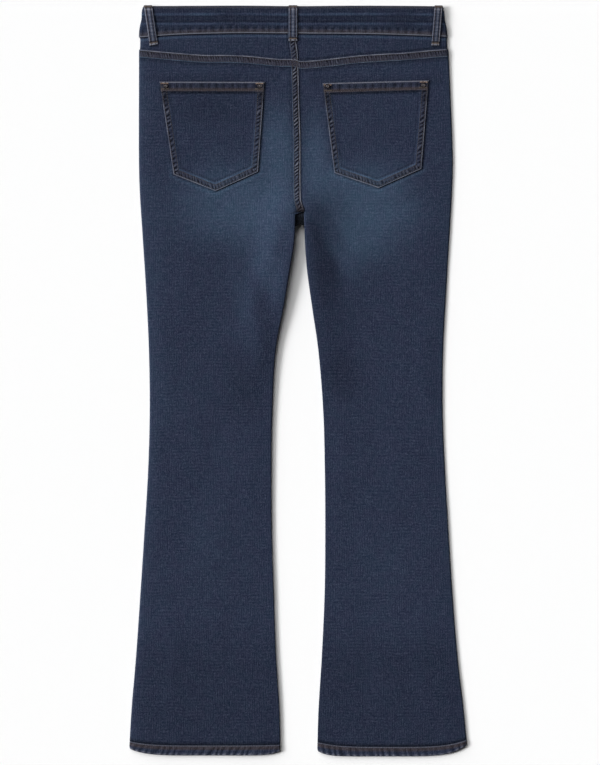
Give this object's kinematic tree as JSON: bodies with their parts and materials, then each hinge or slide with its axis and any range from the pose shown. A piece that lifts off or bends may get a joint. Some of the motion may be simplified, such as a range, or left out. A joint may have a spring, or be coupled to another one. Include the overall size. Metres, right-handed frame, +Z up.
{
  "type": "bootcut jeans",
  "caption": "Bootcut five-pocket style jeans laid flat with the back up, with patch pockets, pointed yoke, waistband, belt loops and turned-up hems.",
  "frame": {"origin": "on the surface that the jeans lie on, under the middle of their outline", "axes": "+Y up the garment towards the waist, +Z up from the surface, +X towards the wearer's right side (the back is up)"},
  "size_m": [0.486, 1.0808, 0.0178],
  "materials": {
    "denim": "dark indigo washed denim, right-hand twill, matt, lighter on the seat and at worn seam edges",
    "thread": "tobacco brown topstitching thread, matt, with orange-tan bar tacks",
    "metal": "aged dull brass, satin, worn bright on the domes"
  },
  "bodies": {
    "root": {"back_panel_left": "denim", "back_panel_right": "denim", "yoke_left": "denim", "yoke_right": "denim", "waistband_back": "denim", "back_pocket_left": "denim", "back_pocket_right": "denim", "belt_loop_back_left": "denim", "belt_loop_back_centre": "denim", "belt_loop_back_right": "denim", "hem_back_left": "denim", "hem_back_right": "denim", "front_panel_left": "denim", "front_panel_right": "denim", "waistband_front_left": "denim", "waistband_front_right": "denim", "pocket_facing_left": "denim", "pocket_facing_right": "denim", "belt_loop_front_left": "denim", "belt_loop_front_right": "denim", "hem_front_left": "denim", "hem_front_right": "denim", "rivet_left_outer": "metal", "rivet_left_inner": "metal", "rivet_right_inner": "metal", "rivet_right_outer": "metal", "waist_button": "metal"}
  },
  "joints": []
}
